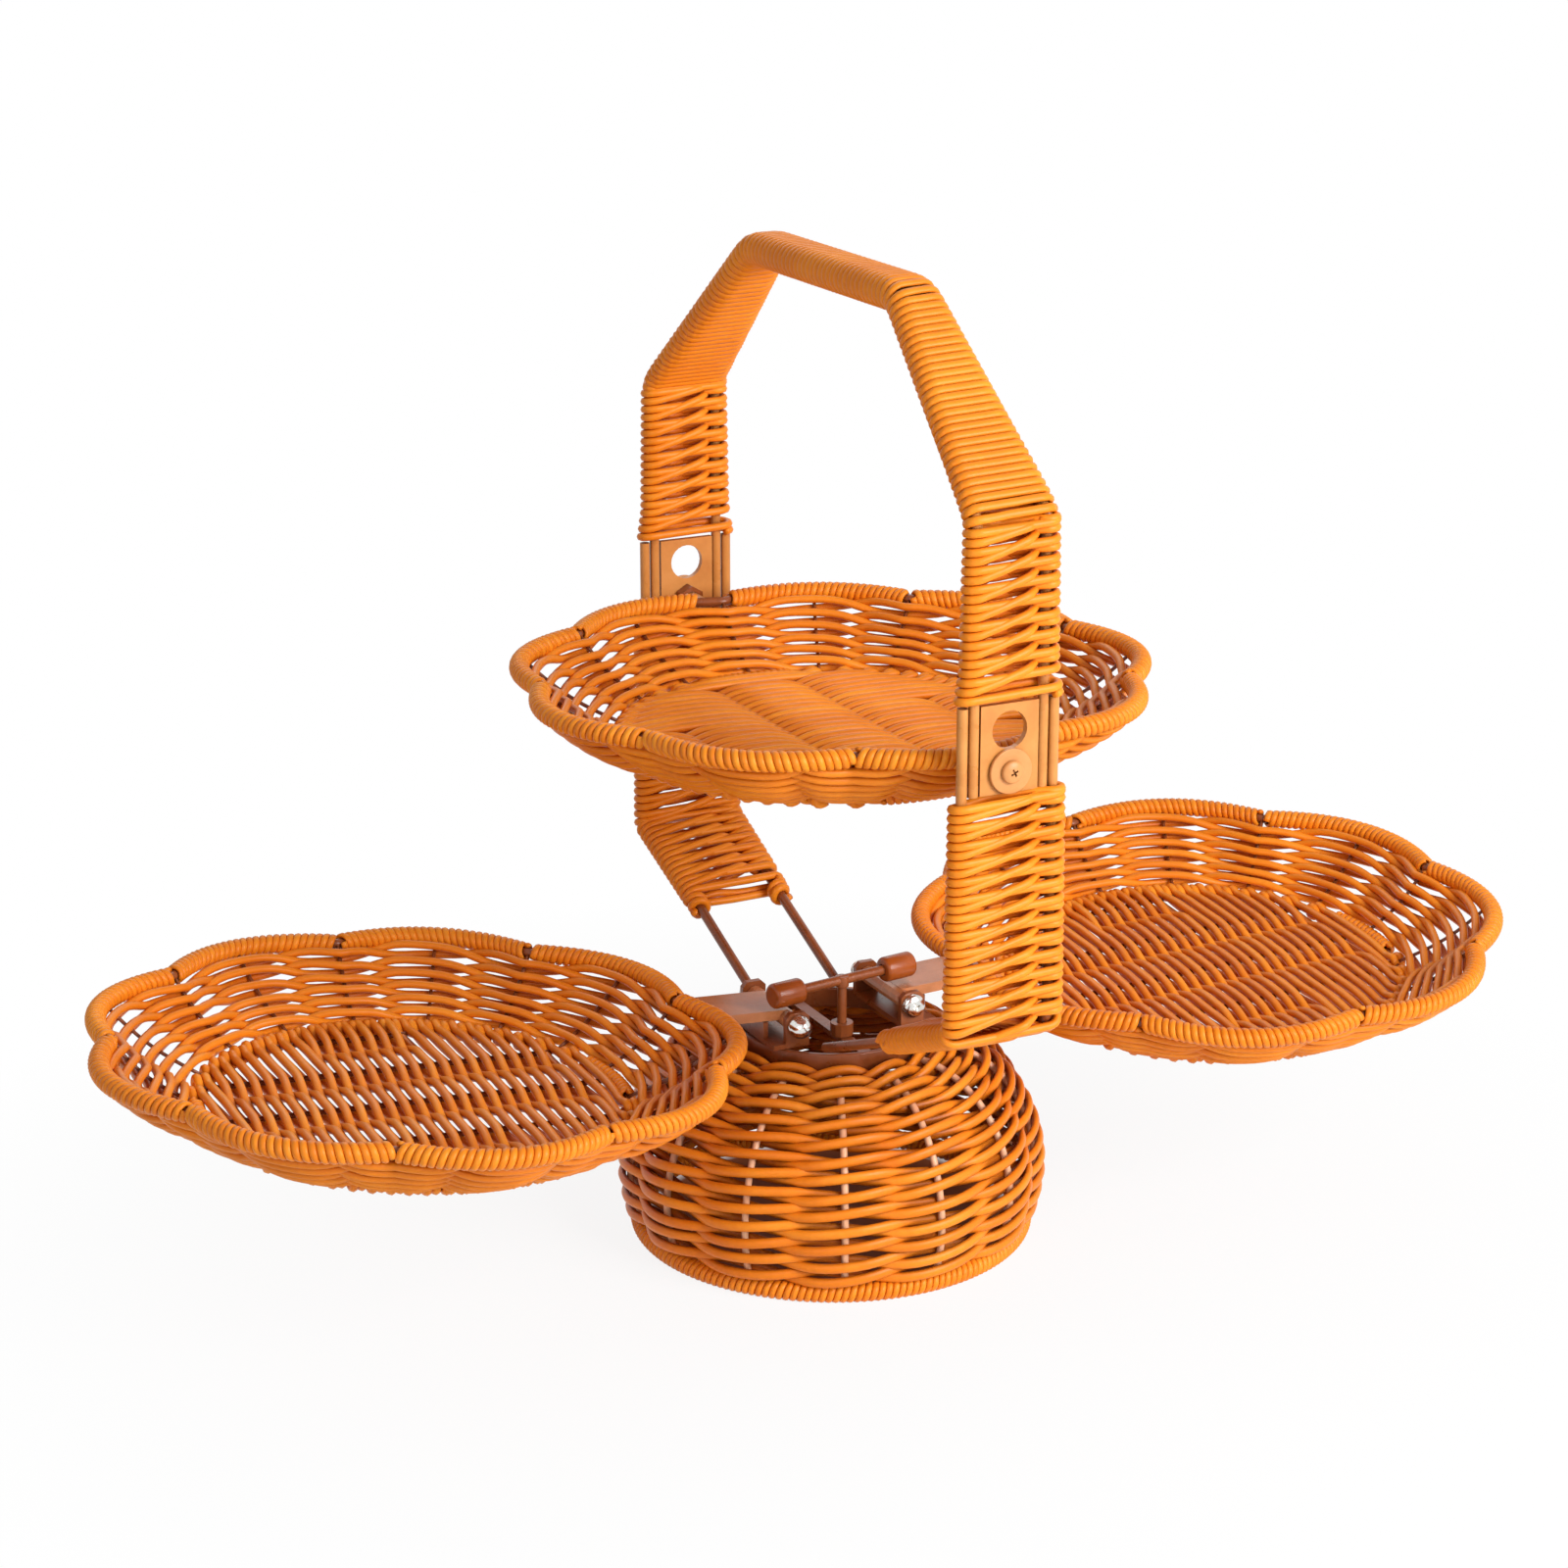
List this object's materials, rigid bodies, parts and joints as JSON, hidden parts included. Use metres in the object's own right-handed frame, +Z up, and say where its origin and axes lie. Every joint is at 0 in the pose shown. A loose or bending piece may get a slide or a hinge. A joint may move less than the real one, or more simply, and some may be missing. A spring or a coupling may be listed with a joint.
{
  "type": "tiered fruit basket stand",
  "caption": "Woven cane fruit stand: a domed base, two hinged side trays with scalloped rims, and an arched handle that carries a top tray.",
  "frame": {"origin": "middle of the foot ring's underside, which is where the stand rests on a table", "axes": "+Z up; the side trays lie along X, the left one at -X; the handle stands in the YZ plane, with its front leg at -Y"},
  "size_m": [0.5886, 0.2798, 0.3883],
  "materials": {
    "cane": "satin",
    "painted_steel": "semi-gloss",
    "plate_paint": "satin",
    "cap_plastic": "satin",
    "chrome": "polished"
  },
  "bodies": {
    "stand": {"base_foot": "cane", "base_dome": "cane", "base_band": "painted_steel", "cross_bar": "painted_steel", "stem_collar": "painted_steel", "handle_grip": "cane", "left_bracket": "painted_steel", "left_hinge_bolt": "chrome", "left_hinge_nut": "chrome", "handle_rod_left": "painted_steel", "right_bracket": "painted_steel", "right_hinge_bolt": "chrome", "right_hinge_nut": "chrome", "handle_rod_right": "painted_steel", "front_plate": "plate_paint", "front_upper_wrap": "cane", "front_lower_wrap": "cane", "front_brace_wrap": "cane", "front_leg_rod_left": "painted_steel", "front_leg_rod_right": "painted_steel", "back_plate": "plate_paint", "back_upper_wrap": "cane", "back_lower_wrap": "cane", "back_brace_wrap": "cane", "back_leg_rod_left": "painted_steel", "back_leg_rod_right": "painted_steel"},
    "left_tray": {"left_arm": "painted_steel", "left_tray_rim": "cane", "left_tray_wall": "cane", "left_tray_border": "cane", "left_tray_floor": "cane"},
    "right_tray": {"right_arm": "painted_steel", "right_tray_rim": "cane", "right_tray_wall": "cane", "right_tray_border": "cane", "right_tray_floor": "cane"},
    "top_tray": {"top_tray_rim": "cane", "top_tray_wall": "cane", "top_tray_border": "cane", "top_tray_floor": "cane", "front_pin": "painted_steel", "front_washer": "plate_paint", "front_pin_nut": "painted_steel", "back_pin": "painted_steel", "back_washer": "plate_paint", "back_pin_nut": "painted_steel"},
    "lock": {"lock_bar": "painted_steel", "left_lock_cap": "cap_plastic", "right_lock_cap": "cap_plastic"}
  },
  "joints": [
    {"name": "left_tray_fold", "type": "hinge", "parent": "stand", "child": "left_tray", "pos_m": [-0.0251, 0, 0.094], "axis": [0, 1, 0], "range_deg": [0, 48]},
    {"name": "right_tray_fold", "type": "hinge", "parent": "stand", "child": "right_tray", "pos_m": [0.0251, 0, 0.094], "axis": [0, -1, 0], "range_deg": [0, 48]},
    {"name": "lock_turn", "type": "hinge", "parent": "stand", "child": "lock", "pos_m": [0, -0.0088, 0.1048], "axis": [0, 0, 1], "range_deg": [0, 90]},
    {"name": "top_tray_swing", "type": "hinge", "parent": "stand", "child": "top_tray", "pos_m": [0, 0, 0.2262], "axis": [0, 1, 0], "range_deg": [-12, 12]}
  ],
  "couplings": [
    {"joint": "right_tray_fold", "follows": "left_tray_fold", "ratio": 1},
    {"joint": "lock_turn", "follows": "left_tray_fold", "ratio": 1.87}
  ]
}
